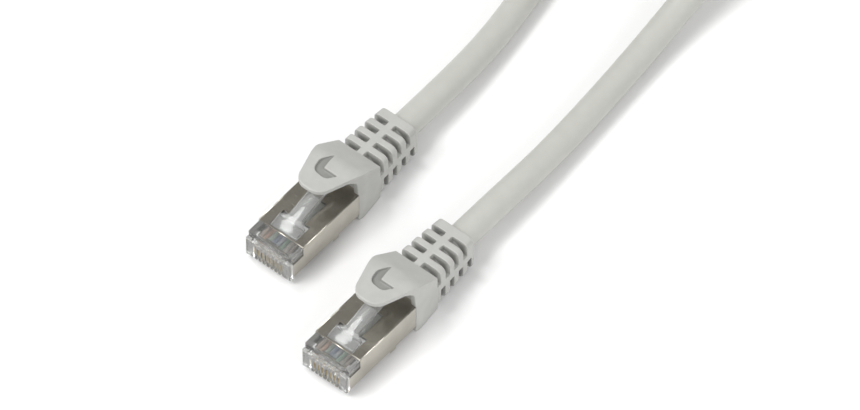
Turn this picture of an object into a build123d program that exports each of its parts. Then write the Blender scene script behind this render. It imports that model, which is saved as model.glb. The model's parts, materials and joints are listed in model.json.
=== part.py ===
"""Shielded ethernet patch lead: two modular plugs with snagless boots on one round cable.

Millimetres. +Y runs from the plugs' noses towards the cable, +X is across both plugs and +Z is up,
latch side up. The origin is under the middle of the two plugs, on the surface they lie on.
"""

import os
from math import cos, radians, sin, tan

from build123d import *

# Both ends, seen from above
PLUG_SPACING = 26.8  # across, centre line to centre line
PLUG_STAGGER = 14.4  # how far plug B's nose lies ahead of plug A's
PLUG_UNDERSIDE = 1.4  # the plug's belly over the surface: the boot hangs lower than the plug

# Plug, measured back from its nose and up from its belly
PLUG_WIDTH = 11.7
PLUG_HEIGHT = 6.6
SHEET = 0.21  # thickness of the shield's sheet metal
FIT = 0.01
NOSE_STEP = 0.9
NOSE_STEP_HEIGHT = 4.7
SHIELD_FRONT = 4.25
SHIELD_BELLY_FRONT = 8.5
SHIELD_NOTCH_HEIGHT = 4.1
PLUG_REAR = 22.4
CHANNEL_FRONT = 1.9
CHANNEL_REAR = 5.0
CHANNEL_FLOOR = 3.45
CHANNEL_ROOF = 4.45
CAVITY_FLOOR = 1.2
CAVITY_ROOF = 5.85
CAVITY_WIDTH = 9.2

# Contacts and wires
WAYS = 8
PITCH = 1.02
SLIT = 0.46
BLADE = 0.34
SLIT_REAR = 7.6
WIRE_RADIUS = 0.46
CONDUCTOR_RADIUS = 0.25
WIRE_ROW_HEIGHT = 3.95
LOAD_BAR_FRONT = 5.2
LOAD_BAR_REAR = 9.4
WIRE_LID = (5.32, 5.8)
LID_REAR = 16.3
CORE_RADIUS = 1.3  # the eight wires lie on this circle inside the cable
WIRE_REAR = 25.0
# Place of each wire round the core, in degrees: the orange, green, blue and brown pairs
CORE_ANGLES = (157.5, 202.5, 112.5, 247.5, 292.5, 67.5, 22.5, -22.5)

# Latch
LATCH_ROOT = 5.3
LATCH_ROOT_HEIGHT = 6.25
LATCH_RISE = 13.9  # degrees
LATCH_LENGTH = 14.2
LATCH_THICKNESS = 1.1
LATCH_WIDE = 6.6
LATCH_NARROW = 3.25
LATCH_LOBE = 2.7  # how far the wide part reaches back from the root
LATCH_SHOULDER = 1.0
WINDOW_NARROW = 4.3
WINDOW_REAR = 15.8
WINDOW_STEP = 9.2

# Boot and its hood
CABLE_DIAMETER = 6.0
CABLE_HEIGHT = 3.6  # cable axis over the plug's belly
BOOT_FRONT = 21.5
BOOT_WIDTH = 12.7
BOOT_WAIST = 11.0
BODY_REAR = 28.7
BODY_REAR_HEIGHT = 8.9
HOOD_TIP = 12.2
HOOD_TIP_HEIGHT = 14.7  # the hood rises towards its tip
HOOD_TOP = 13.0
HOOD_BEND = 22.0
HOOD_THICKNESS = 1.1
HOOD_TIP_RADIUS = 3.1
HOOD_WIDTH = 11.6
HOOD_PIVOT = (23.4, 8.0)  # (back from the nose, up from the belly)
HOOD_SPLIT_RADIUS = 3.2
HOOD_GAP = 0.3
WALL = 1.25
UNDER_HOOD_REAR = 23.6
RELIEF_REAR = 41.3
RELIEF_ROOT_SIZE = 10.4
RELIEF_END_SIZE = 9.2
RELIEF_CORNER = 2.6
SLEEVE_RADIUS = 3.5
SLOT_COUNT = 4
SLOT_PITCH = 2.93
SLOT_FIRST = 29.6
SLOT_WIDTH = 1.2
SPINE_WIDTH = 1.8
TOP_SLOT_FLOOR = 6.1
LOW_SLOT_ROOF = 1.1

# Inside the boot
JACKET_FRONT = 22.6
JACKET_BORE = 2.5
CORE_REAR = 26.0
FOIL_RADIUS = 2.1
FOIL = 0.06
FOIL_FRONT = 16.6
DRAIN_RADIUS = 0.15
COLLAR_FRONT = 23.2
COLLAR_REAR = 26.4
COLLAR_RADIUS = 3.55
MOULD_REAR = 28.0
MOULD_WIDTH = 9.0
MOULD_FLOOR = -0.5
MOULD_ROOF = 7.4

# Cable: the long coil that holds the length put away, and the loose runs to it
COIL_CENTRE = (-14.0, 140.2)
COIL_RADIUS = 21.0  # of its two round ends, to the middle of the bundle
COIL_STRAIGHT = 40.4
BUNDLE = 12.3  # two turns side by side and two high
TIE = 0.5
TIE_WIDTH = 6.0
FLOOR_AXIS = CABLE_DIAMETER / 2 + 0.05
EXIT_AXIS = PLUG_UNDERSIDE + CABLE_HEIGHT

PLUG_A_FRONT = (PLUG_STAGGER - RELIEF_REAR) / 2
PLUG_B_FRONT = PLUG_A_FRONT - PLUG_STAGGER
PLUGS = {
    "plug_a": Plane((-PLUG_SPACING / 2, PLUG_A_FRONT, PLUG_UNDERSIDE)),
    "plug_b": Plane((PLUG_SPACING / 2, PLUG_B_FRONT, PLUG_UNDERSIDE)),
}

# Each loose run, from its boot to the coil, chosen by hand
ROUTE_A = [
    (-13.4, 27.95, EXIT_AXIS),
    (-13.4, 41.5, 4.7),
    (-14.5, 57.0, 3.3),
    (-16.6, 71.0, FLOOR_AXIS),
    (-19.2, 85.0, FLOOR_AXIS + 0.05),
    (-25.0, 96.6, FLOOR_AXIS + 0.3),
    (-32.4, 104.5, FLOOR_AXIS + 0.55),
]
ROUTE_B = [
    (13.4, 13.55, EXIT_AXIS),
    (13.4, 27.0, 4.8),
    (13.1, 42.0, 3.5),
    (12.0, 60.0, FLOOR_AXIS),
    (10.7, 77.0, 3.3),
    (10.1, 90.5, 5.4),
    (10.0, 104.0, 8.8),
    (10.05, 118.0, 9.75),
    (10.1, 130.0, 9.7),
]


def across(plug, back, width=0.0, height=0.0):
    """Plane across the plug: its x is across, its y is up, and a negative extrusion runs back."""
    return Plane(
        plug.origin + Vector(width, back, height), x_dir=(1, 0, 0), z_dir=(0, -1, 0)
    )


def beside(plug, width=0.0):
    """Plane along the plug: its x runs back from the nose and its y is up."""
    return Plane(plug.origin + Vector(width, 0, 0), x_dir=(0, 1, 0), z_dir=(1, 0, 0))


def above(plug, height=0.0):
    """Level plane over the plug's belly: its x is across and its y runs back from the nose."""
    return plug.offset(height)


def save(piece, name):
    piece.part.label = name
    export_step(piece.part, f"parts/{name}.step")


def block(plug, width, back, height, mode=Mode.ADD):
    """Adds a block between two distances across, back and up, in the part being built."""
    size = Vector(width[1] - width[0], back[1] - back[0], height[1] - height[0])
    with BuildSketch(across(plug, back[0], sum(width) / 2, sum(height) / 2)) as profile:
        Rectangle(size.X, size.Z)
    extrude(profile.sketch, amount=-size.Y, mode=mode)


def centred(width):
    return (-width / 2, width / 2)


def way_offset(way):
    """Distance of contact or wire number way, 0 to 7, from the plug's centre line."""
    return (way - (WAYS - 1) / 2) * PITCH


def make_housing(plug, name):
    inner_width = PLUG_WIDTH - 2 * (SHEET + FIT)
    roof = PLUG_HEIGHT - SHEET - FIT
    floor = SHEET + FIT
    with BuildPart() as housing:
        with BuildSketch(beside(plug)):
            with BuildLine():
                Polyline(
                    (NOSE_STEP, floor),
                    (NOSE_STEP, roof),
                    (PLUG_REAR - 0.4, roof),
                    (PLUG_REAR - 0.4, floor),
                    close=True,
                )
            make_face()
        extrude(amount=inner_width / 2, both=True)
        # The lip with the contact slits is as wide as the shield and reaches to the belly
        block(plug, centred(PLUG_WIDTH), (0, NOSE_STEP - FIT), (0, NOSE_STEP_HEIGHT))
        block(plug, centred(9.8), (0, SHIELD_BELLY_FRONT - 0.05), (0, floor))
        nose = housing.faces().sort_by(Axis.Y)[0]
        fillet(nose.edges().filter_by(Axis.Z), radius=0.4)
        # Slits for the contacts
        for way in range(WAYS):
            x = way_offset(way)
            block(
                plug,
                (x - SLIT / 2, x + SLIT / 2),
                (-0.1, SLIT_REAR),
                (-0.1, CHANNEL_FLOOR + 0.02),
                Mode.SUBTRACT,
            )
        # Channel for the wire ends, then the cavity that opens at the back
        block(
            plug,
            centred(WAYS * PITCH + 0.1),
            (CHANNEL_FRONT, CHANNEL_REAR + 0.1),
            (CHANNEL_FLOOR, CHANNEL_ROOF),
            Mode.SUBTRACT,
        )
        block(
            plug,
            centred(CAVITY_WIDTH),
            (SLIT_REAR + 0.5, PLUG_REAR),
            (CAVITY_FLOOR, CAVITY_ROOF),
            Mode.SUBTRACT,
        )
        block(
            plug,
            centred(CAVITY_WIDTH),
            (CHANNEL_REAR, SLIT_REAR + 0.6),
            (CHANNEL_FLOOR, 4.9),
            Mode.SUBTRACT,
        )
        # Notches at both ends of the step, and the groove across the top of the nose
        for side in (-1, 1):
            width = sorted((side * 3.9, side * 4.7))
            block(plug, width, (NOSE_STEP - 0.5, NOSE_STEP + 0.5), (4.4, 5.3), Mode.SUBTRACT)
        block(plug, centred(3.4), (1.4, 1.7), (roof - 0.45, roof + 0.1), Mode.SUBTRACT)
        # Pocket for the latch, with a seat under its root
        block(
            plug,
            centred(LATCH_WIDE + 0.4),
            (LATCH_ROOT - LATCH_THICKNESS / 2 - 0.1, WINDOW_STEP),
            (LATCH_ROOT_HEIGHT - LATCH_THICKNESS / 2 - 0.1, PLUG_HEIGHT),
            Mode.SUBTRACT,
        )
        block(
            plug,
            centred(WINDOW_NARROW),
            (WINDOW_STEP - 0.1, WINDOW_REAR),
            (CAVITY_ROOF + 0.1, PLUG_HEIGHT),
            Mode.SUBTRACT,
        )
    save(housing, f"{name}_housing")


def make_shield(plug, name):
    with BuildPart() as shield:
        # Folded sleeve, open at both ends
        with BuildSketch(across(plug, SHIELD_FRONT, 0, PLUG_HEIGHT / 2)):
            RectangleRounded(PLUG_WIDTH, PLUG_HEIGHT, 0.35)
            Rectangle(PLUG_WIDTH - 2 * SHEET, PLUG_HEIGHT - 2 * SHEET, mode=Mode.SUBTRACT)
        extrude(amount=SHIELD_FRONT - PLUG_REAR)
        # The belly is bare under the contacts
        block(
            plug,
            centred(9.9),
            (SHIELD_FRONT - 0.1, SHIELD_BELLY_FRONT),
            (-0.1, SHEET + 0.05),
            Mode.SUBTRACT,
        )
        # Window that the latch is pressed into
        block(
            plug,
            centred(LATCH_WIDE + 0.4),
            (LATCH_ROOT - LATCH_THICKNESS / 2 - 0.1, WINDOW_STEP),
            (PLUG_HEIGHT - 0.4, PLUG_HEIGHT + 0.1),
            Mode.SUBTRACT,
        )
        block(
            plug,
            centred(WINDOW_NARROW),
            (WINDOW_STEP - 0.1, WINDOW_REAR),
            (PLUG_HEIGHT - 0.4, PLUG_HEIGHT + 0.1),
            Mode.SUBTRACT,
        )
        for side in (-1, 1):
            # Cheek that reaches forward under the notch, and the seam tab under the edge
            edge = sorted((side * PLUG_WIDTH / 2, side * (PLUG_WIDTH / 2 - SHEET)))
            block(
                plug,
                edge,
                (NOSE_STEP, SHIELD_FRONT + 0.1),
                (0.3, SHIELD_NOTCH_HEIGHT),
            )
            block(plug, edge, (13.6, 15.2), (-0.5, 0.5))
        # Strap back to the collar that is crimped round the cable
        block(
            plug,
            centred(3.0),
            (PLUG_REAR - 0.1, COLLAR_REAR),
            (0, CABLE_HEIGHT - COLLAR_RADIUS + SHEET),
        )
        with BuildSketch(across(plug, COLLAR_FRONT, 0, CABLE_HEIGHT)):
            Circle(COLLAR_RADIUS)
            Circle(COLLAR_RADIUS - SHEET, mode=Mode.SUBTRACT)
        extrude(amount=COLLAR_FRONT - COLLAR_REAR)
        with BuildSketch(across(plug, PLUG_REAR, 0, CABLE_HEIGHT)):
            Circle(COLLAR_RADIUS - SHEET)
        extrude(amount=PLUG_REAR - COLLAR_REAR - 0.1, mode=Mode.SUBTRACT)
    save(shield, f"{name}_shield")


def make_contacts(plug, name):
    with BuildPart() as contacts:
        for way in range(WAYS):
            x = way_offset(way)
            with BuildSketch(beside(plug, x)):
                with BuildLine():
                    # Blade with a rounded lower front corner and two prongs under the wire
                    Polyline((0.95, 0.45), (6.4, 0.45), (6.4, 2.9), (6.0, 3.42), (5.4, 2.9))
                    Polyline((5.4, 2.9), (3.6, 2.9), (3.2, 3.42), (2.6, 2.9), (0.35, 2.9))
                    Polyline((0.35, 2.9), (0.35, 1.05))
                    RadiusArc((0.35, 1.05), (0.95, 0.45), -0.6)
                make_face()
            extrude(amount=BLADE / 2, both=True)
    save(contacts, f"{name}_contacts")


def make_load_bar(plug, name):
    roof, floor = 4.85, WIRE_ROW_HEIGHT - WIRE_RADIUS * 0.7
    with BuildPart() as load_bar:
        block(plug, centred(9.0), (LOAD_BAR_FRONT, LOAD_BAR_REAR), (floor, roof))
        # Step and lid over the wires where they gather
        block(plug, centred(9.0), (LOAD_BAR_REAR - 1.1, LOAD_BAR_REAR), (roof - 0.1, WIRE_LID[1]))
        block(plug, centred(9.0), (LOAD_BAR_REAR - 0.1, LID_REAR), WIRE_LID)
        with BuildSketch(across(plug, LOAD_BAR_FRONT - 0.1, 0, WIRE_ROW_HEIGHT)):
            with GridLocations(PITCH, 1, WAYS, 1):
                Circle(WIRE_RADIUS + 0.01)
        extrude(amount=LOAD_BAR_FRONT - LOAD_BAR_REAR - 0.2, mode=Mode.SUBTRACT)
    save(load_bar, f"{name}_load_bar")


def wire_path(plug, way):
    """Route of one wire: along the row, up or down to its level, then in to its place in the core."""
    row = way_offset(way)
    angle = radians(CORE_ANGLES[way])
    x = CORE_RADIUS * cos(angle)
    z = CABLE_HEIGHT + CORE_RADIUS * sin(angle)
    points = [
        (row, CHANNEL_FRONT + 0.1, WIRE_ROW_HEIGHT),
        (row, 9.9, WIRE_ROW_HEIGHT),
        (row * 0.97, 12.7, z),
        (x, 15.9, z),
        (x, WIRE_REAR, z),
    ]
    return [plug.origin + Vector(*point) for point in points]


def make_wires(plug, name):
    for way in range(WAYS):
        with BuildPart() as wire:
            with BuildLine() as path:
                FilletPolyline(*wire_path(plug, way), radius=1.2)
            with BuildSketch(Plane(path.line @ 0, z_dir=path.line % 0)):
                Circle(WIRE_RADIUS)
                Circle(CONDUCTOR_RADIUS + 0.02, mode=Mode.SUBTRACT)
            sweep()
        save(wire, f"{name}_wire_{way + 1}")


def make_conductors(plug, name):
    with BuildPart() as conductors:
        for way in range(WAYS):
            with BuildLine() as path:
                FilletPolyline(*wire_path(plug, way), radius=1.2)
            with BuildSketch(Plane(path.line @ 0, z_dir=path.line % 0)):
                Circle(CONDUCTOR_RADIUS)
            sweep(path=path.line)
    save(conductors, f"{name}_conductors")


def make_foil(plug, name):
    with BuildPart() as foil:
        with BuildSketch(across(plug, FOIL_FRONT, 0, CABLE_HEIGHT)):
            Circle(FOIL_RADIUS)
            Circle(FOIL_RADIUS - FOIL, mode=Mode.SUBTRACT)
        extrude(amount=FOIL_FRONT - CORE_REAR + 0.1)
    save(foil, f"{name}_foil")


def make_drain_wire(plug, name):
    inside = FOIL_RADIUS + DRAIN_RADIUS + 0.03
    outside = CABLE_DIAMETER / 2 + DRAIN_RADIUS + 0.02
    turn_back = JACKET_FRONT - 0.3
    with BuildPart() as drain_wire:
        with BuildLine(beside(plug)) as path:
            FilletPolyline(
                (CORE_REAR - 0.2, CABLE_HEIGHT - inside),
                (turn_back, CABLE_HEIGHT - inside),
                (turn_back, CABLE_HEIGHT - outside),
                (COLLAR_REAR - 0.2, CABLE_HEIGHT - outside),
                radius=(outside - inside) * 0.45,
            )
        with BuildSketch(Plane(path.line @ 0, z_dir=path.line % 0)):
            Circle(DRAIN_RADIUS)
        sweep()
    save(drain_wire, f"{name}_drain_wire")


def make_jacket(plug, name):
    with BuildPart() as jacket:
        with BuildSketch(across(plug, JACKET_FRONT, 0, CABLE_HEIGHT)):
            Circle(CABLE_DIAMETER / 2)
        extrude(amount=JACKET_FRONT - RELIEF_REAR)
        with BuildSketch(across(plug, JACKET_FRONT, 0, CABLE_HEIGHT)):
            Circle(JACKET_BORE)
        extrude(amount=JACKET_FRONT - CORE_REAR, mode=Mode.SUBTRACT)
    save(jacket, f"{name}_cable_end")


def make_inner_mould(plug, name):
    with BuildPart() as mould:
        block(
            plug,
            centred(MOULD_WIDTH),
            (PLUG_REAR + 0.05, MOULD_REAR),
            (MOULD_FLOOR, MOULD_ROOF),
        )
        fillet(mould.edges().filter_by(Axis.Y), radius=1.0)
        with BuildSketch(across(plug, PLUG_REAR, 0, CABLE_HEIGHT)):
            Circle(COLLAR_RADIUS + 0.05)
        extrude(amount=PLUG_REAR - COLLAR_REAR - 0.1, mode=Mode.SUBTRACT)
        with BuildSketch(across(plug, PLUG_REAR, 0, CABLE_HEIGHT)):
            Circle(CABLE_DIAMETER / 2 + FIT)
        extrude(amount=PLUG_REAR - MOULD_REAR - 0.1, mode=Mode.SUBTRACT)
        block(plug, centred(3.2), (PLUG_REAR, COLLAR_REAR + 0.1), (-0.1, 1.0), Mode.SUBTRACT)
    save(mould, f"{name}_inner_mould")


def make_latch(plug, name):
    """Latch arm, drawn lying on its own slope: x across, y back from its root, z through it."""
    rise = radians(LATCH_RISE)
    arm = Plane(
        plug.origin + Vector(0, LATCH_ROOT, LATCH_ROOT_HEIGHT),
        x_dir=(1, 0, 0),
        z_dir=(0, -sin(rise), cos(rise)),
    )
    wide, narrow = LATCH_WIDE / 2, LATCH_NARROW / 2
    waist = LATCH_LOBE + LATCH_SHOULDER
    with BuildPart() as latch:
        with BuildSketch(arm.offset(-LATCH_THICKNESS / 2)):
            with BuildLine():
                for side in (-1, 1):
                    Line((0, 0), (side * wide, 0))
                    Line((side * wide, 0), (side * wide, LATCH_LOBE))
                    RadiusArc(
                        (side * wide, LATCH_LOBE),
                        (side * narrow, waist),
                        side * 2.6,
                    )
                    Line((side * narrow, waist), (side * narrow, LATCH_LENGTH))
                    Line((side * narrow, LATCH_LENGTH), (0, LATCH_LENGTH))
            make_face()
        extrude(amount=LATCH_THICKNESS)
        root_edge = Plane(arm.origin - Vector(wide, 0, 0), x_dir=(0, 1, 0), z_dir=(1, 0, 0))
        with BuildSketch(root_edge):
            Circle(LATCH_THICKNESS / 2)
        extrude(amount=LATCH_WIDE)
    save(latch, f"{name}_latch")


def boot_plan(plug):
    """Plan of the hood and boot body: a round tongue that widens to the body and narrows behind."""
    half, tip = HOOD_WIDTH / 2, HOOD_TIP_RADIUS
    shoulder = HOOD_TIP + tip * 0.9
    with BuildSketch(above(plug, -PLUG_UNDERSIDE)) as plan:
        with BuildLine():
            Polyline(
                (tip, shoulder),
                (half, 20.6),
                (BOOT_WIDTH / 2, BOOT_FRONT + 1.0),
                (BOOT_WAIST / 2, BODY_REAR),
                (-BOOT_WAIST / 2, BODY_REAR),
                (-BOOT_WIDTH / 2, BOOT_FRONT + 1.0),
                (-half, 20.6),
                (-tip, shoulder),
            )
            ThreePointArc((-tip, shoulder), (0, HOOD_TIP), (tip, shoulder))
        make_face()
    return plan.sketch


def boot_side(plug):
    """Side view of hood and boot body together, with the open arch under the hood."""
    floor = -PLUG_UNDERSIDE
    under = HOOD_TOP - HOOD_THICKNESS
    with BuildSketch(beside(plug)) as side:
        with BuildLine():
            Polyline(
                (BOOT_FRONT, PLUG_HEIGHT + 0.8),
                (BOOT_FRONT, floor),
                (BODY_REAR, floor),
                (BODY_REAR, BODY_REAR_HEIGHT),
                (HOOD_BEND, HOOD_TOP),
                (HOOD_TIP, HOOD_TIP_HEIGHT),
                (HOOD_TIP, HOOD_TIP_HEIGHT - HOOD_THICKNESS),
                (19.2, under + 0.5),
            )
            RadiusArc((19.2, under + 0.5), (BOOT_FRONT, PLUG_HEIGHT + 0.8), 4.4)
        make_face()
    return side.sketch


def hood_region(plug, radius, back):
    """Side view of everything that moves with the hood: in front of the pivot, past a radius."""
    with BuildSketch(beside(plug)) as region:
        with Locations((HOOD_PIVOT[0] + back, HOOD_PIVOT[1])):
            Rectangle(20, 10, align=(Align.MAX, Align.MIN))
        with Locations(HOOD_PIVOT):
            Circle(radius, mode=Mode.SUBTRACT)
    return region.sketch


def hollow_under_hood(plug):
    block(
        plug,
        centred(HOOD_WIDTH - 2 * WALL - 1.0),
        (BOOT_FRONT - 8, UNDER_HOOD_REAR),
        (PLUG_HEIGHT + 0.05, HOOD_TOP - HOOD_THICKNESS - 0.5),
        Mode.SUBTRACT,
    )


def make_hood(plug, name):
    with BuildPart() as hood:
        extrude(boot_side(plug), amount=BOOT_WIDTH, both=True)
        extrude(boot_plan(plug), amount=20, mode=Mode.INTERSECT)
        hollow_under_hood(plug)
        moving = hood_region(plug, HOOD_SPLIT_RADIUS + HOOD_GAP, -HOOD_GAP / 2)
        extrude(moving, amount=BOOT_WIDTH, both=True, mode=Mode.INTERSECT)
        # Rib that presses on the latch
        block(plug, centred(3.0), (15.4, 16.6), (9.85, HOOD_TOP))
        # Crescent thumb mark, sunk square to the rising plate
        rise = (HOOD_TIP_HEIGHT - HOOD_TOP) / (HOOD_BEND - HOOD_TIP)
        plate = Plane(
            plug.origin + Vector(0, HOOD_BEND, HOOD_TOP),
            x_dir=(1, 0, 0),
            z_dir=Vector(0, rise, 1).normalized(),
        )
        with BuildSketch(plate.offset(-0.5)) as mark:
            with Locations((0, -2.6)):
                Circle(2.7)
                with Locations((0.7, 0.7)):
                    Circle(2.4, mode=Mode.SUBTRACT)
        extrude(mark.sketch, amount=1.5, mode=Mode.SUBTRACT)
    save(hood, f"{name}_hood")


def relief_slots(plug):
    """Cuts the slots of the strain relief: on top, and half a step further back underneath."""
    reach = RELIEF_ROOT_SIZE
    for slot in range(SLOT_COUNT):
        for side in (-1, 1):
            wide = sorted((side * SPINE_WIDTH / 2, side * reach))
            top = SLOT_FIRST + slot * SLOT_PITCH
            low = top + SLOT_PITCH / 2
            block(
                plug,
                wide,
                (top - SLOT_WIDTH / 2, top + SLOT_WIDTH / 2),
                (TOP_SLOT_FLOOR, 2 * reach),
                Mode.SUBTRACT,
            )
            block(
                plug,
                wide,
                (low - SLOT_WIDTH / 2, low + SLOT_WIDTH / 2),
                (-reach, LOW_SLOT_ROOF),
                Mode.SUBTRACT,
            )


def make_boot(plug, name):
    with BuildPart() as boot:
        # Strain relief: a rounded square that tapers along the cable
        for back, size in ((BODY_REAR - 0.5, RELIEF_ROOT_SIZE), (RELIEF_REAR, RELIEF_END_SIZE)):
            with BuildSketch(across(plug, back, 0, CABLE_HEIGHT)):
                RectangleRounded(size, size - 0.4, RELIEF_CORNER)
        loft()
        relief_slots(plug)
        # Sleeve round the cable under the slots
        with BuildSketch(across(plug, BODY_REAR - 0.5, 0, CABLE_HEIGHT)):
            Circle(SLEEVE_RADIUS)
        extrude(amount=BODY_REAR - 0.5 - RELIEF_REAR)
    with BuildPart() as body:
        extrude(boot_side(plug), amount=BOOT_WIDTH, both=True)
        extrude(boot_plan(plug), amount=20, mode=Mode.INTERSECT)
        belly_edges = body.faces().sort_by(Axis.Z)[0].edges()
        fillet(belly_edges - belly_edges.filter_by(Axis.X), radius=0.8)
        hollow_under_hood(plug)
        moving = hood_region(plug, HOOD_SPLIT_RADIUS, HOOD_GAP / 2)
        extrude(moving, amount=BOOT_WIDTH, both=True, mode=Mode.SUBTRACT)
        add(boot.part)
        # Seat for the plug's rear end, the room of the inner mould, and the cable's bore
        block(
            plug,
            centred(PLUG_WIDTH + 2 * FIT),
            (BOOT_FRONT - 0.1, PLUG_REAR + 0.04),
            (-FIT, PLUG_HEIGHT + FIT),
            Mode.SUBTRACT,
        )
        block(
            plug,
            centred(MOULD_WIDTH),
            (PLUG_REAR, MOULD_REAR),
            (MOULD_FLOOR, MOULD_ROOF),
            Mode.SUBTRACT,
        )
        with BuildSketch(across(plug, MOULD_REAR - 0.1, 0, CABLE_HEIGHT)):
            Circle(CABLE_DIAMETER / 2 + FIT)
        extrude(amount=MOULD_REAR - 0.1 - RELIEF_REAR - 0.1, mode=Mode.SUBTRACT)
    save(body, f"{name}_boot")


def corner_radii(points):
    """The largest radius for each corner that leaves a little of both of its runs straight."""
    radii = []
    for before, here, after in zip(points, points[1:], points[2:]):
        run_in, run_out = Vector(*here) - Vector(*before), Vector(*after) - Vector(*here)
        shorter = min(run_in.length, run_out.length)
        radii.append(0.45 * shorter / tan(radians(run_in.get_angle(run_out)) / 2))
    return radii


def make_cable(points, name):
    radii = corner_radii(points)
    with BuildPart() as cable:
        with BuildLine() as path:
            FilletPolyline(*points, radius=radii)
        with BuildSketch(Plane(path.line @ 0, z_dir=path.line % 0)) as section:
            Circle(CABLE_DIAMETER / 2)
        sweep()
    save(cable, name)
    length = sum(edge.length for edge in path.line.edges())
    share = cable.part.volume / (section.sketch.area * length)
    print(name, "radii", [round(r) for r in radii], "length", round(length, 1))
    print(name, "volume over section times length", round(share, 4))


def make_coil():
    floor = TIE + FIT
    with BuildPart() as coil:
        with BuildSketch(Plane((*COIL_CENTRE, floor))):
            SlotCenterToCenter(COIL_STRAIGHT, 2 * COIL_RADIUS + BUNDLE, rotation=90)
            SlotCenterToCenter(
                COIL_STRAIGHT, 2 * COIL_RADIUS - BUNDLE, rotation=90, mode=Mode.SUBTRACT
            )
        extrude(amount=BUNDLE)
        level_faces = coil.faces().filter_by(Axis.Z)
        fillet(level_faces.edges(), radius=2.4)
    save(coil, "cable_coil")
    # Hook and loop band round the bundle on the long side away from the plugs' middle
    side = Plane(
        (COIL_CENTRE[0] - COIL_RADIUS, COIL_CENTRE[1] - TIE_WIDTH / 2, floor + BUNDLE / 2),
        x_dir=(1, 0, 0),
        z_dir=(0, -1, 0),
    )
    with BuildPart() as tie:
        with BuildSketch(side):
            RectangleRounded(BUNDLE + 2 * TIE, BUNDLE + 2 * TIE, 2.9)
            RectangleRounded(BUNDLE + 2 * FIT, BUNDLE + 2 * FIT, 2.4, mode=Mode.SUBTRACT)
        extrude(amount=-TIE_WIDTH)
    save(tie, "coil_tie")


os.makedirs("parts", exist_ok=True)
for plug_name, plug_plane in PLUGS.items():
    for make in (
        make_housing,
        make_shield,
        make_contacts,
        make_load_bar,
        make_wires,
        make_conductors,
        make_foil,
        make_drain_wire,
        make_jacket,
        make_inner_mould,
        make_latch,
        make_hood,
        make_boot,
    ):
        make(plug_plane, plug_name)
make_cable(ROUTE_A, "cable_run_a")
make_cable(ROUTE_B, "cable_run_b")
make_coil()
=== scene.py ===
"""Shielded ethernet patch lead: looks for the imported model, in metres."""

import json
from math import atan, cos, pi, radians, sin, tan

import bmesh
import bpy
from mathutils import Matrix, Vector


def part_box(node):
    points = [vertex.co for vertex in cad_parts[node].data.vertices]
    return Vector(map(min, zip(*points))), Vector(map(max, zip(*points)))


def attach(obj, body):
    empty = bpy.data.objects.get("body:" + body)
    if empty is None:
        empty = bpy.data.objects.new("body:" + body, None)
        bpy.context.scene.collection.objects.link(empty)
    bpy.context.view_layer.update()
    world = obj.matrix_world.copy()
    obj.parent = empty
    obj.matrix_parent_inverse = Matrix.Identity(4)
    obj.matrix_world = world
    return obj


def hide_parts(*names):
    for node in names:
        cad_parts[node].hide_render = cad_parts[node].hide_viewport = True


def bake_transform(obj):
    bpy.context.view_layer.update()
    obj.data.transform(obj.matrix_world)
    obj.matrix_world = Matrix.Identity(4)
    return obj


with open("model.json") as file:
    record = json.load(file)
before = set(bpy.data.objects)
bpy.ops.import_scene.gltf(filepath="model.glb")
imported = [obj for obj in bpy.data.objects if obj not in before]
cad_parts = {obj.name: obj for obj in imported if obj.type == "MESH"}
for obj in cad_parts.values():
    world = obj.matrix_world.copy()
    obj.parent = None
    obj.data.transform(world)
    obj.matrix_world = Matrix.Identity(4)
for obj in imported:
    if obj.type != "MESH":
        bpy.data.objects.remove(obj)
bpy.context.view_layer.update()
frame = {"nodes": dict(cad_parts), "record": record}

MM = 0.001
PLUGS = ("plug_a", "plug_b")
SLOTS_OF = {s["node"]: s["material_slot"] for s in frame["record"]["subparts"]}
VIEW_WIDTH = 172.8296 * MM  # at the object


# ---------------------------------------------------------------- places

def plug_origin(plug):
    """The point under the middle of the plug's nose, at its belly."""
    low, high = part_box(f"{plug}_housing")
    return Vector(((low[0] + high[0]) / 2, low[1], low[2]))


# ---------------------------------------------------------------- camera, light and floor

def make_camera():
    azimuth, elevation = radians(39.6), radians(52.2)
    right = Vector((cos(azimuth), sin(azimuth), 0))
    back = Vector((sin(azimuth) * cos(elevation), -cos(azimuth) * cos(elevation), sin(elevation)))
    up = back.cross(right)
    aim = Vector((1.67, 19.35, 1.4)) * MM
    data = bpy.data.cameras.new("camera")
    data.lens, data.sensor_width = 600, 36
    distance = VIEW_WIDTH * data.lens / data.sensor_width
    camera = bpy.data.objects.new("camera", data)
    bpy.context.scene.collection.objects.link(camera)
    camera.matrix_world = Matrix.Translation(aim + back * distance) @ Matrix(
        (right, up, back)
    ).transposed().to_4x4()
    bpy.context.scene.camera = camera


def area_light(name, place, size, power, aim=(0, 0.02, 0)):
    data = bpy.data.lights.new(name, "AREA")
    data.shape, data.size, data.energy = "DISK", size, power
    lamp = bpy.data.objects.new(name, data)
    bpy.context.scene.collection.objects.link(lamp)
    lamp.location = place
    lamp.rotation_euler = (Vector(aim) - Vector(place)).to_track_quat("-Z", "Y").to_euler()


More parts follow.
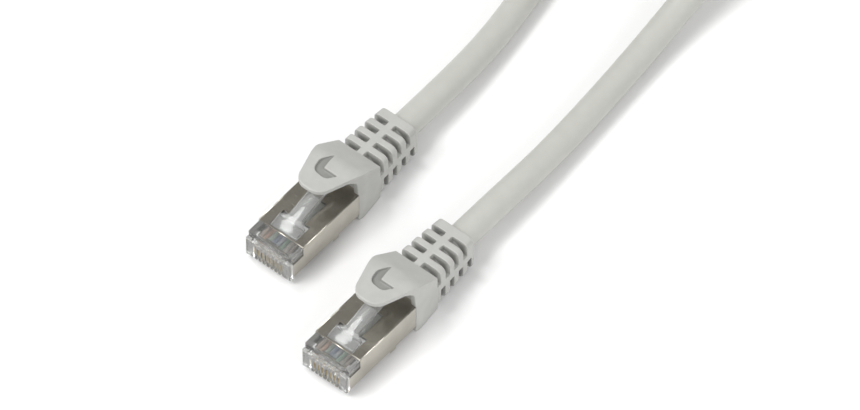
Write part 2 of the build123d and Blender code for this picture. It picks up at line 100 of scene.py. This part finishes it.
def make_studio():
    scene = bpy.context.scene
    scene.view_settings.view_transform = "Standard"
    world = bpy.data.worlds.new("studio")
    world.use_nodes = True
    nodes, links = world.node_tree.nodes, world.node_tree.links
    background = nodes["Background"]
    # Soft white round about, with a darker patch high at the back that the metal tops mirror
    place = nodes.new("ShaderNodeTexCoord")
    facing = nodes.new("ShaderNodeVectorMath")
    facing.operation = "DOT_PRODUCT"
    facing.inputs[1].default_value = Vector((-0.39, 0.47, 0.79)).normalized()
    ramp = nodes.new("ShaderNodeValToRGB")
    ramp.color_ramp.elements[0].position = 0.85
    ramp.color_ramp.elements[0].color = (1.0, 1.0, 1.0, 1)
    ramp.color_ramp.elements[1].position = 0.95
    ramp.color_ramp.elements[1].color = (0.42, 0.415, 0.395, 1)
    links.new(place.outputs["Generated"], facing.inputs[0])
    links.new(facing.outputs["Value"], ramp.inputs["Fac"])
    links.new(ramp.outputs["Color"], background.inputs["Color"])
    background.inputs["Strength"].default_value = 0.58
    scene.world = world
    area_light("key", (-0.25, -0.45, 0.75), 0.45, 4.6)
    area_light("fill", (0.75, -0.1, 0.5), 0.5, 2.0)
    area_light("overhead", (-0.32, 0.04, 0.74), 0.2, 1.1)  # mirrored by the latches

    mesh = bpy.data.meshes.new("floor")
    reach, drop = 1.5, -0.00005
    corners = [(x * reach, y * reach, drop) for x, y in ((-1, -1), (1, -1), (1, 1), (-1, 1))]
    mesh.from_pydata(corners, [], [(0, 1, 2, 3)])
    floor = bpy.data.objects.new("floor", mesh)
    scene.collection.objects.link(floor)
    mesh.materials.append(make_material("floor", (0.93, 0.93, 0.93), 0.9))


# ---------------------------------------------------------------- materials

def make_material(name, colour, roughness, **values):
    """Principled material. values sets further sockets by name, with _ for a space."""
    material = bpy.data.materials.new(name)
    material.use_nodes = True
    shader = material.node_tree.nodes["Principled BSDF"]
    shader.inputs["Base Color"].default_value = (*colour, 1)
    shader.inputs["Roughness"].default_value = roughness
    for socket, value in values.items():
        shader.inputs[socket.replace("_", " ")].default_value = value
    return material


def object_noise(material, scale, detail=3.0, stretch=(1, 1, 1)):
    """Noise over the piece in millimetres of its own frame, scale features per millimetre."""
    nodes, links = material.node_tree.nodes, material.node_tree.links
    place = nodes.new("ShaderNodeTexCoord")
    size = nodes.new("ShaderNodeMapping")
    size.inputs["Scale"].default_value = [1000 * s for s in stretch]
    noise = nodes.new("ShaderNodeTexNoise")
    noise.inputs["Scale"].default_value = scale
    noise.inputs["Detail"].default_value = detail
    links.new(place.outputs["Object"], size.inputs["Vector"])
    links.new(size.outputs["Vector"], noise.inputs["Vector"])
    return noise.outputs["Fac"]


def tint(material, fac, dark, light, low=0.35, high=0.65):
    """Base colour between two tones by a noise."""
    nodes, links = material.node_tree.nodes, material.node_tree.links
    ramp = nodes.new("ShaderNodeValToRGB")
    ramp.color_ramp.elements[0].position, ramp.color_ramp.elements[1].position = low, high
    ramp.color_ramp.elements[0].color, ramp.color_ramp.elements[1].color = (*dark, 1), (*light, 1)
    links.new(fac, ramp.inputs["Fac"])
    links.new(ramp.outputs["Color"], nodes["Principled BSDF"].inputs["Base Color"])


def vary_roughness(material, fac, low, high):
    nodes, links = material.node_tree.nodes, material.node_tree.links
    span = nodes.new("ShaderNodeMapRange")
    span.inputs["To Min"].default_value, span.inputs["To Max"].default_value = low, high
    links.new(fac, span.inputs["Value"])
    links.new(span.outputs["Result"], nodes["Principled BSDF"].inputs["Roughness"])


def bump(material, fac, depth_mm, strength=1.0):
    nodes, links = material.node_tree.nodes, material.node_tree.links
    node = nodes.new("ShaderNodeBump")
    node.inputs["Distance"].default_value = depth_mm * MM
    node.inputs["Strength"].default_value = strength
    links.new(fac, node.inputs["Height"])
    links.new(node.outputs["Normal"], nodes["Principled BSDF"].inputs["Normal"])


def moulded(name, dark, light, roughness, grain=9.0, depth=0.006):
    """Soft moulded plastic: cloudy tone, and a fine matt grain."""
    material = make_material(name, light, roughness)
    tint(material, object_noise(material, 0.35, 4), dark, light)
    fine = object_noise(material, grain, 2)
    vary_roughness(material, object_noise(material, 1.3), roughness - 0.06, roughness + 0.08)
    bump(material, fine, depth)
    return material


def with_painted_shade(material):
    """The base colour times the painted shade kept on the mesh's points."""
    nodes, links = material.node_tree.nodes, material.node_tree.links
    base = nodes["Principled BSDF"].inputs["Base Color"]
    shade = nodes.new("ShaderNodeAttribute")
    shade.attribute_name = "shade"
    darken = nodes.new("ShaderNodeMix")
    darken.data_type, darken.blend_type = "RGBA", "MULTIPLY"
    darken.inputs["Factor"].default_value = 1.0
    # A mix node has a set of sockets for each type of data, and these are the colours' A, B and result
    links.new(base.links[0].from_socket, darken.inputs[6])
    links.new(shade.outputs["Color"], darken.inputs[7])
    links.new(darken.outputs[2], base)
    return material


def clear(name, colour, roughness, transmission):
    """Clear plastic with a light haze in it."""
    material = make_material(name, colour, roughness, Transmission_Weight=transmission, IOR=1.5)
    vary_roughness(material, object_noise(material, 0.8), roughness * 0.7, roughness * 1.5)
    bump(material, object_noise(material, 0.7, 1), 0.004, 0.4)
    return material


def metal(name, dark, light, roughness, stretch=(1, 1, 1), depth=0.002, scale=3.0):
    material = make_material(name, light, roughness, Metallic=1.0)
    tint(material, object_noise(material, 0.25, 4), dark, light)
    fine = object_noise(material, scale, 3, stretch)
    vary_roughness(material, fine, roughness - 0.06, roughness + 0.1)
    bump(material, fine, depth)
    return material


WIRE_GREY = 0.4  # the insulation's colours are dulled towards it


def make_materials():
    made = {
        "clear_plastic": clear("clear_plastic", (0.86, 0.865, 0.85), 0.12, 0.9),
        "latch_plastic": clear("latch_plastic", (0.84, 0.845, 0.835), 0.09, 0.86),
        "nickel_sheet": metal(
            "nickel_sheet", (0.50, 0.475, 0.42), (0.57, 0.545, 0.485), 0.22, (0.3, 3, 3), 0.001
        ),
        "gold_plate": metal("gold_plate", (0.78, 0.62, 0.34), (0.90, 0.76, 0.48), 0.22),
        "copper": metal("copper", (0.72, 0.36, 0.22), (0.90, 0.52, 0.36), 0.22),
        "screen_foil": metal(
            "screen_foil", (0.62, 0.63, 0.65), (0.86, 0.87, 0.88), 0.2, depth=0.03, scale=1.2
        ),
        "tinned_wire": metal("tinned_wire", (0.55, 0.56, 0.57), (0.75, 0.76, 0.77), 0.25),
        "frosted_plastic": moulded("frosted_plastic", (0.66, 0.67, 0.66), (0.78, 0.79, 0.78), 0.35),
        "white_plastic": moulded("white_plastic", (0.66, 0.66, 0.63), (0.76, 0.76, 0.73), 0.5),
        # The boot's colour is multiplied by painted shade in its thumb mark and between its ribs
        "boot_plastic": with_painted_shade(moulded("boot_plastic", (0.455, 0.455, 0.435), (0.485, 0.485, 0.465), 0.52)),
        "cable_jacket": moulded("cable_jacket", (0.505, 0.505, 0.47), (0.525, 0.525, 0.49), 0.42, 5.0, 0.008),
        "tie_fabric": moulded("tie_fabric", (0.03, 0.03, 0.03), (0.06, 0.06, 0.06), 0.85, 4.0, 0.08),
    }
    record = {m["slot"]: m["base_color"][:3] for m in frame["record"]["materials"]}
    for slot, colour in record.items():
        if slot.startswith("wire_"):
            muted = [0.45 * c + 0.55 * WIRE_GREY for c in colour]
            made[slot] = moulded(slot, [c * 0.86 for c in muted], muted, 0.35, 6.0, 0.004)
    return made


def paint_nodes():
    for name, node in frame["nodes"].items():
        node.data.materials.clear()
        node.data.materials.append(MATERIALS[SLOTS_OF[name]])


# ---------------------------------------------------------------- the cable

CABLE = 6.0 * MM
ROUTE_A = [
    (-13.4, 27.95, 5.0),
    (-13.4, 41.5, 4.7),
    (-14.5, 57.0, 3.3),
    (-16.6, 71.0, 3.05),
    (-19.2, 85.0, 3.1),
    (-25.0, 96.6, 3.35),
]
ROUTE_B = [
    (13.4, 13.55, 5.0),
    (13.4, 27.0, 4.8),
    (13.1, 42.0, 3.5),
    (12.0, 60.0, 3.05),
    (10.7, 77.0, 3.3),
    (10.1, 90.5, 5.4),
    (10.0, 104.0, 8.8),
    (10.05, 118.0, 9.75),
]
COIL_RADIUS = 21.0  # of its round ends, to the middle of the bundle
COIL_STRAIGHT = 40.4
COIL_FIRST = 220  # degrees: where run A joins, turning clockwise
COIL_TURNS = 3
COIL_STEP = 20  # degrees
STRAND = 3.05  # half the distance between two turns
COIL_FLOOR = 0.55 + STRAND
# Place of each turn in the bundle, as (outer or inner, low or high)
TURN_PLACES = ((1, 0), (-1, 0), (-1, 1), (1, 1))
# Share of the turn over which it moves to the next place, so that no turn cuts another
TURN_CHANGES = ((0.84, 1.0), (0.74, 0.90), (0.64, 0.80), (2.0, 3.0))


def smooth(value):
    value = min(max(value, 0.0), 1.0)
    return value * value * (3 - 2 * value)


def place_in_bundle(angle):
    """(sideways, up) of the bundle's middle, in half strand distances, at an angle of the winding."""
    turns = (COIL_FIRST - angle) / 360
    turn = min(int(turns), COIL_TURNS)
    here, there = TURN_PLACES[turn], TURN_PLACES[min(turn + 1, COIL_TURNS)]
    start, end = TURN_CHANGES[turn]
    change = smooth((turns - turn - start) / (end - start))
    return [a + (b - a) * change for a, b in zip(here, there)]


def coil_points():
    """Turns of the long coil: round ends by angle, and two points on each straight side."""
    low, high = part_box("cable_coil")
    centre = (Vector(low) + Vector(high)) / 2 / MM
    cut_in = 0.5 + 0.5 * cos(radians(COIL_STEP) / 2) ** 2  # a spline passes inside its points
    points = []

    def add(angle, shift, outward):
        side, level = place_in_bundle(angle)
        radius = (COIL_RADIUS + side * STRAND) * outward
        points.append(
            (
                centre.x + radius * cos(radians(angle)),
                centre.y + radius * sin(radians(angle)) + shift,
                COIL_FLOOR + level * 2 * STRAND,
            )
        )

    half = COIL_STRAIGHT / 2
    for angle in range(COIL_FIRST, -360 * COIL_TURNS - 1, -COIL_STEP):
        up = 1 if (angle % 360) < 180 else -1
        if angle % 180 == 0:
            # The run along the straight side, up on the left and down on the right
            way = -1 if angle % 360 else 1
            for part in (way, way / 3, -way / 3, -way)[: 3 if angle == -360 * COIL_TURNS else 4]:
                add(angle, part * half, 1)
        else:
            add(angle, up * half, 1 / cut_in)
    return points


def make_cable():
    points = ROUTE_A + coil_points() + ROUTE_B[::-1]
    data = bpy.data.curves.new("cable", "CURVE")
    data.dimensions = "3D"
    data.bevel_depth = CABLE / 2
    data.bevel_resolution = 8
    data.resolution_u = 10
    spline = data.splines.new("NURBS")
    spline.points.add(len(points) - 1)
    for point, place in zip(spline.points, points):
        point.co = (*(Vector(place) * MM), 1)
    spline.order_u = 3
    spline.use_endpoint_u = True
    data.materials.append(MATERIALS["cable_jacket"])
    cable = bpy.data.objects.new("cable", data)
    bpy.context.scene.collection.objects.link(cable)
    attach(cable, "lead")
    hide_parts("cable_run_a", "cable_run_b", "cable_coil")


# ---------------------------------------------------------------- mesh tools, in millimetres

def rounded(corners, steps=6):
    """Closed outline through corners (u, v, radius), each rounded to its radius."""
    points = []
    for i, (u, v, radius) in enumerate(corners):
        here = Vector((u, v))
        before = (Vector(corners[i - 1][:2]) - here).normalized()
        after = (Vector(corners[(i + 1) % len(corners)][:2]) - here).normalized()
        if radius == 0:
            points.append(here)
            continue
        half = before.angle(after) / 2
        reach = radius / tan(half)
        centre = here + (before + after).normalized() * radius / sin(half)
        start, end = here + before * reach - centre, here + after * reach - centre
        turn = start.angle_signed(end)
        for step in range(steps + 1):
            arm = start.copy()
            arm.rotate(Matrix.Rotation(-turn * step / steps, 2))
            points.append(centre + arm)
    return points


def mesh_object(name, bm):
    bmesh.ops.recalc_face_normals(bm, faces=bm.faces)
    mesh = bpy.data.meshes.new(name)
    bm.to_mesh(mesh)
    bm.free()
    piece = bpy.data.objects.new(name, mesh)
    bpy.context.scene.collection.objects.link(piece)
    return piece


def prism(outline, direction, low, high):
    """Solid of an outline pushed along x (outline is back, up), y (across, up) or z (across, back)."""
    place = {
        "x": lambda u, v, w: (w, u, v),
        "y": lambda u, v, w: (u, w, v),
        "z": lambda u, v, w: (u, v, w),
    }[direction]
    bm = bmesh.new()
    rings = [[bm.verts.new(place(u, v, w)) for u, v in outline] for w in (low, high)]
    bm.faces.new(rings[0])
    bm.faces.new(rings[1][::-1])
    for i in range(len(outline)):
        j = (i + 1) % len(outline)
        bm.faces.new((rings[0][i], rings[0][j], rings[1][j], rings[1][i]))
    return mesh_object("prism", bm)


def loft(sections):
    """Solid through sections (back, outline), each outline with as many points, across and up."""
    bm = bmesh.new()
    rings = [[bm.verts.new((u, back, v)) for u, v in outline] for back, outline in sections]
    bm.faces.new(rings[0])
    bm.faces.new(rings[-1][::-1])
    for ring, following in zip(rings, rings[1:]):
        for i in range(len(ring)):
            j = (i + 1) % len(ring)
            bm.faces.new((ring[i], ring[j], following[j], following[i]))
    return mesh_object("loft", bm)


def box_outline(low, high, radius=0.0):
    return [
        (low[0], low[1], radius),
        (high[0], low[1], radius),
        (high[0], high[1], radius),
        (low[0], high[1], radius),
    ]


def joined(pieces):
    """One mesh object of several."""
    bm = bmesh.new()
    for piece in pieces:
        bm.from_mesh(piece.data)
        bpy.data.objects.remove(piece)
    return mesh_object("joined", bm)


def apply_modifiers(piece):
    bpy.context.view_layer.update()
    evaluated = piece.evaluated_get(bpy.context.evaluated_depsgraph_get())
    mesh = bpy.data.meshes.new_from_object(evaluated)
    piece.modifiers.clear()
    piece.data = mesh


def combine(piece, tool, operation):
    modifier = piece.modifiers.new("combine", "BOOLEAN")
    modifier.object, modifier.operation, modifier.solver = tool, operation, "EXACT"
    apply_modifiers(piece)
    bpy.data.objects.remove(tool)


# ---------------------------------------------------------------- boot and hood, one soft moulding

AXIS = 3.6  # height of the cable's axis over the plug's belly
BOOT_FRONT, BODY_REAR, RELIEF_REAR = 21.5, 28.9, 41.3
HOOD_TIP, HOOD_TIP_HEIGHT = 12.25, 13.8
HOOD_BEND, HOOD_TOP = 22.0, 13.0
HOOD_THICKNESS = 1.1
HOOD_UNDER = HOOD_TOP - HOOD_THICKNESS
HOOD_RISE = (HOOD_TIP_HEIGHT - HOOD_TOP) / (HOOD_BEND - HOOD_TIP)
RELIEF_REACH = (5.0, 4.8)  # half its width and half its height, on average
SLOT_FIRST, SLOT_PITCH, SLOT_WIDTH, SLOTS = 29.6, 2.93, 1.4, 4
MARK_DEPTH = 0.75  # of the thumb mark
MARK_PAINTED_SHADE, SLOT_PAINTED_SHADE = 0.42, 0.45  # share of the tone lost to painted shade at the bottom of each
GRAIN = 0.12  # voxel of the moulding, in millimetres


def boot_body():
    side = rounded(
        [
            (BOOT_FRONT, -1.4, 0.3),
            (BODY_REAR, -1.35, 0),
            (BODY_REAR, 8.5, 0),
            (HOOD_BEND, HOOD_TOP, 9.0),
            (HOOD_TIP, HOOD_TIP_HEIGHT, 0.35),
            (HOOD_TIP, HOOD_TIP_HEIGHT - HOOD_THICKNESS, 0.35),
            (19.2, HOOD_UNDER + 0.2, 0),
            (BOOT_FRONT - 0.35, 10.9, 1.6),
            (BOOT_FRONT, 7.2, 0.6),
        ]
    )
    body = prism(side, "x", -7, 7)
    half = [(3.0, HOOD_TIP, 3.4), (5.7, 20.8, 2.2), (6.15, 22.7, 3.0), (5.45, BODY_REAR, 0)]
    plan = rounded(half + [(-x, y, r) for x, y, r in half[::-1]], 10)
    combine(body, prism(plan, "z", -2, 16), "INTERSECT")
    # Room under the hood
    half, roof = 4.6, HOOD_UNDER - 0.3
    arch = rounded([(-half, 6.7, 0.2), (half, 6.7, 0.2), (half, roof, 2.9), (-half, roof, 2.9)])
    combine(body, prism(arch, "y", 5, 23.8), "DIFFERENCE")
    return body


def relief_section(width, height):
    half, tall = width / 2, height / 2
    return rounded(box_outline((-half, AXIS - tall), (half, AXIS + tall), 1.4))


def relief_slots():
    cuts = []
    for slot in range(SLOTS):
        for side in (-1, 1):
            across = sorted((side * 0.8, side * 9))
            top = SLOT_FIRST + slot * SLOT_PITCH
            low = top + SLOT_PITCH / 2
            for middle, heights in ((top, (4.8, 12)), (low, (-5, 2.9))):
                outline = rounded(box_outline((across[0], heights[0]), (across[1], heights[1]), 0.25), 3)
                cuts.append(prism(outline, "y", middle - SLOT_WIDTH / 2, middle + SLOT_WIDTH / 2))
    return joined(cuts)


def mark_outline():
    """Crescent across and back from the hood's bend, round towards the nose."""
    return rounded(
        [
            (-1.6, 1.2, 0.1),
            (-2.95, -2.0, 2.2),
            (-2.3, -5.1, 2.0),
            (1.3, -5.5, 1.6),
            (2.7, -3.3, 0.1),
            (-0.8, -3.3, 0.15),
        ]
    )


def inside(outline, x, y):
    """Whether a point lies in an outline, by counting the edges that it sees to one side."""
    crossings = 0
    for (x0, y0), (x1, y1) in zip(outline, outline[1:] + outline[:1]):
        if (y0 > y) != (y1 > y) and x < x0 + (x1 - x0) * (y - y0) / (y1 - y0):
            crossings += 1
    return crossings % 2 == 1


def thumb_mark():
    """The crescent as a solid to sink square to the rising hood."""
    mark = prism(mark_outline(), "z", -MARK_DEPTH, 1.2)
    bend = Matrix.Translation((0, HOOD_BEND, HOOD_TOP))
    mark.data.transform(bend @ Matrix.Rotation(-atan(HOOD_RISE), 4, "X"))
    return mark


def ring_outline(radius, count=40):
    return [
        (radius * cos(2 * pi * i / count), AXIS + radius * sin(2 * pi * i / count)) for i in range(count)
    ]


def paint_shade_in_cavities(mesh):
    """Painted shade, kept on the points, down in the thumb mark and between the ribs."""
    outline = mark_outline()
    shade = mesh.color_attributes.new("shade", "FLOAT_COLOR", "POINT")
    for vertex, value in zip(mesh.vertices, shade.data):
        x, y, z = vertex.co
        depth = HOOD_TOP + (HOOD_BEND - y) * HOOD_RISE - z
        tone = 1.0
        # Painted shade, deeper towards the floor of the thumb mark
        if 0.2 < depth < 0.95 and inside(outline, x, y - HOOD_BEND):
            tone = 1.0 - MARK_PAINTED_SHADE * smooth((depth - 0.2) / 0.4)
        # Painted shade, deeper between the relief's ribs
        if BODY_REAR + 0.3 < y < RELIEF_REAR - 0.4:
            sunk = min(RELIEF_REACH[0] - abs(x), RELIEF_REACH[1] - abs(z - AXIS))
            tone = 1.0 - SLOT_PAINTED_SHADE * smooth((sunk - 0.35) / 1.2)
        value.color = (tone, tone, tone, 1)


def make_moulding():
    """Mesh of one boot with its hood, in millimetres from the plug's nose and belly."""
    boot = boot_body()
    relief = loft(
        [
            (BODY_REAR - 1.2, relief_section(10.5, 10.0)),
            (BODY_REAR + 6, relief_section(10.0, 9.6)),
            (RELIEF_REAR, relief_section(9.2, 8.9)),
        ]
    )
    combine(relief, relief_slots(), "DIFFERENCE")
    combine(relief, prism(ring_outline(3.5), "y", BODY_REAR - 1, RELIEF_REAR - 0.5), "UNION")
    combine(boot, relief, "UNION")
    combine(boot, prism(ring_outline(3.0), "y", BODY_REAR - 2, RELIEF_REAR + 1), "DIFFERENCE")
    seat = rounded(box_outline((-5.87, -0.03), (5.87, 6.63), 0.3))
    combine(boot, prism(seat, "y", BOOT_FRONT - 9, 22.44), "DIFFERENCE")
    inner = rounded(box_outline((-4.5, -0.5), (4.5, 7.4), 1.0))
    combine(boot, prism(inner, "y", 22.0, 28.0), "DIFFERENCE")
    # Rib under the hood, which presses the latch
    rib = rounded(box_outline((15.4, 9.85), (16.6, HOOD_TOP + 0.4), 0.25), 3)
    combine(boot, prism(rib, "x", -1.5, 1.5), "UNION")
    combine(boot, thumb_mark(), "DIFFERENCE")
    remesh = boot.modifiers.new("moulding", "REMESH")
    remesh.mode, remesh.voxel_size = "VOXEL", GRAIN
    soften = boot.modifiers.new("soften", "SMOOTH")
    soften.factor, soften.iterations = 0.5, 4
    apply_modifiers(boot)
    for polygon in boot.data.polygons:
        polygon.use_smooth = True
    # Paint shade into the thumb mark and between the ribs
    paint_shade_in_cavities(boot.data)
    return boot


def make_boots():
    master = make_moulding()
    for plug in PLUGS:
        origin = plug_origin(plug)
        mesh = master.data.copy()
        mesh.transform(Matrix.Translation(origin) @ Matrix.Scale(MM, 4))
        boot = bpy.data.objects.new(f"{plug}_boot_moulding", mesh)
        bpy.context.scene.collection.objects.link(boot)
        mesh.materials.clear()
        mesh.materials.append(MATERIALS["boot_plastic"])
        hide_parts(f"{plug}_boot", f"{plug}_hood")
        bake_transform(boot)
    bpy.data.objects.remove(master)


# ---------------------------------------------------------------- sheet metal, clear parts and tie

def soften_edges(name, width, body="lead", segments=2, flat=True):
    """Copy of a hard part with its sharp edges broken. flat keeps its wide faces level in shading."""
    node = frame["nodes"][name]
    mesh = node.data.copy()
    mesh.transform(node.matrix_world)
    piece = bpy.data.objects.new(f"{name}_finished", mesh)
    bpy.context.scene.collection.objects.link(piece)
    bm = bmesh.new()
    bm.from_mesh(mesh)
    bmesh.ops.remove_doubles(bm, verts=bm.verts, dist=0.002 * MM)
    bmesh.ops.dissolve_limit(bm, angle_limit=radians(0.5), verts=bm.verts, edges=bm.edges)
    bm.to_mesh(mesh)
    bm.free()
    for polygon in mesh.polygons:
        polygon.use_smooth = True
    bevel = piece.modifiers.new("bevel", "BEVEL")
    bevel.width, bevel.segments, bevel.angle_limit = width * MM, segments, radians(35)
    if flat:
        piece.modifiers.new("flat faces", "WEIGHTED_NORMAL")
    apply_modifiers(piece)
    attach(piece, body)
    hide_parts(name)


PLUG_HEIGHT = 6.6  # from the plug's belly to the top of its shield
NOSE_LENGTH = 4.25  # from the plug's front to the shield's front edge


def rod(start, end, radius, sides=12):
    """Closed round bar between two points, all in millimetres."""
    bm = bmesh.new()
    turn = (end - start).to_track_quat("Z", "Y").to_matrix().to_4x4()
    middle = Matrix.Translation((start + end) / 2)
    bmesh.ops.create_cone(
        bm,
        cap_ends=True,
        segments=sides,
        radius1=radius,
        radius2=radius,
        depth=(end - start).length,
        matrix=middle @ turn,
    )
    return mesh_object("rod", bm)


def rolled_edges(plug):
    """The shield's front edge and its two long bends, rounded where the sheet is folded."""
    low, high = (Vector(corner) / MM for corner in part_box(f"{plug}_shield"))
    origin = plug_origin(plug) / MM
    inset, radius = 0.13, 0.17
    front, rear = origin.y + NOSE_LENGTH + inset, origin.y + BOOT_FRONT + 0.5
    top = origin.z + PLUG_HEIGHT - inset
    corners = [Vector((x, y, top)) for x in (low.x + inset, high.x - inset) for y in (rear, front)]
    runs = ((corners[0], corners[1]), (corners[3], corners[2]), (corners[1], corners[3]))
    piece = joined([rod(start, end, radius) for start, end in runs])
    piece.name = f"{plug}_shield_edges"
    piece.data.transform(Matrix.Scale(MM, 4))
    for polygon in piece.data.polygons:
        polygon.use_smooth = len(polygon.vertices) == 4
    piece.data.materials.clear()
    piece.data.materials.append(MATERIALS["nickel_sheet"])
    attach(piece, "lead")


def finish_hard_parts():
    for plug in PLUGS:
        soften_edges(f"{plug}_shield", 0.11)
        rolled_edges(plug)
        soften_edges(f"{plug}_housing", 0.09)
        soften_edges(f"{plug}_latch", 0.16, f"{plug}_latch_arm", 3, flat=False)


def make_tie():
    """Hook-and-loop band round the bundle, with its free end lapped over the top."""
    low, high = (Vector(corner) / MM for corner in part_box("coil_tie"))
    wall = 0.9
    outer = rounded(box_outline((low.x, low.z), (high.x, high.z), 3.2), 10)
    inner = rounded(box_outline((low.x + wall, low.z + wall), (high.x - wall, high.z - wall), 2.4), 10)
    band = prism(outer, "y", low.y, high.y)
    combine(band, prism(inner, "y", low.y - 1, high.y + 1), "DIFFERENCE")
    left, right = low.x + 4.0, high.x - 3.4
    foot, top = high.z - 0.3, high.z + 0.5
    lap = [(left, foot, 0), (right, foot, 0), (right - 0.2, top, 0.2), (left + 0.2, top, 0.2)]
    combine(band, prism(rounded(lap, 3), "y", low.y + 0.25, high.y - 0.25), "UNION")
    band.name = "coil_tie_band"
    band.data.transform(Matrix.Scale(MM, 4))
    bevel = band.modifiers.new("bevel", "BEVEL")
    bevel.width, bevel.segments, bevel.angle_limit = 0.15 * MM, 2, radians(35)
    apply_modifiers(band)
    band.data.materials.clear()
    band.data.materials.append(MATERIALS["tie_fabric"])
    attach(band, "lead")
    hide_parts("coil_tie")


MATERIALS = make_materials()
make_camera()
make_studio()
paint_nodes()
make_tie()
make_cable()
make_boots()
finish_hard_parts()
